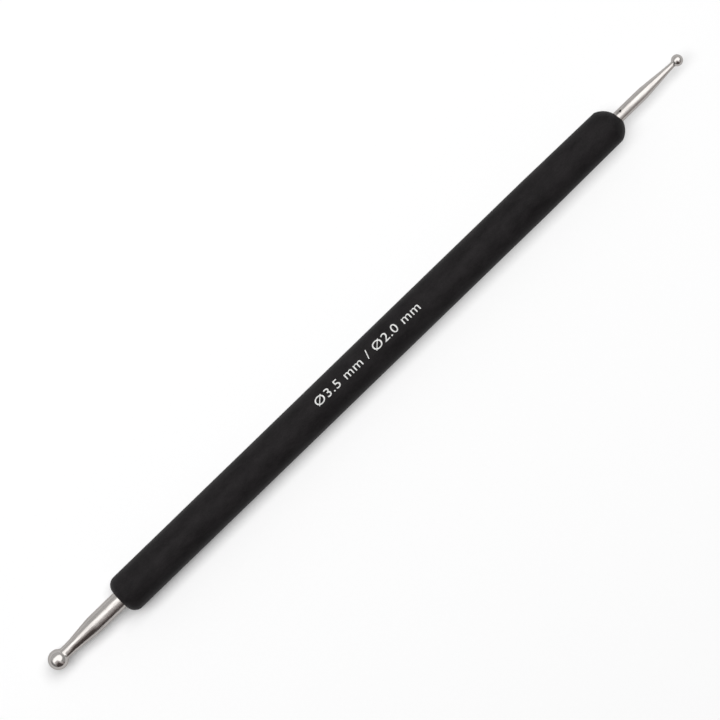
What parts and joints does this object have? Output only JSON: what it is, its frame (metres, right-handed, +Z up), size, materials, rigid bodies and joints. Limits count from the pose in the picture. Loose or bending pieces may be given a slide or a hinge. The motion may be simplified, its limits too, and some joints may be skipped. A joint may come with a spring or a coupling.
{
  "type": "embossing stylus",
  "caption": "Double-ended embossing stylus: a slim round handle with a soft matt skin and a turned steel pin with a polished ball at each end.",
  "frame": {"origin": "on the surface that the handle lies on, under the middle of the overall length", "axes": "+X along the tool's axis towards the small ball, +Z up, away from the surface that the handle lies on"},
  "size_m": [0.1462, 0.007, 0.007],
  "materials": {
    "soft_skin": "matt soft-touch black",
    "core_plastic": "moulded, hidden",
    "pin_steel": "turned and polished steel",
    "ball_steel": "polished steel"
  },
  "bodies": {
    "root": {"grip_sleeve": "soft_skin", "handle_core": "core_plastic", "large_shank": "pin_steel", "large_ball": "ball_steel", "small_shank": "pin_steel", "small_ball": "ball_steel"}
  },
  "joints": []
}
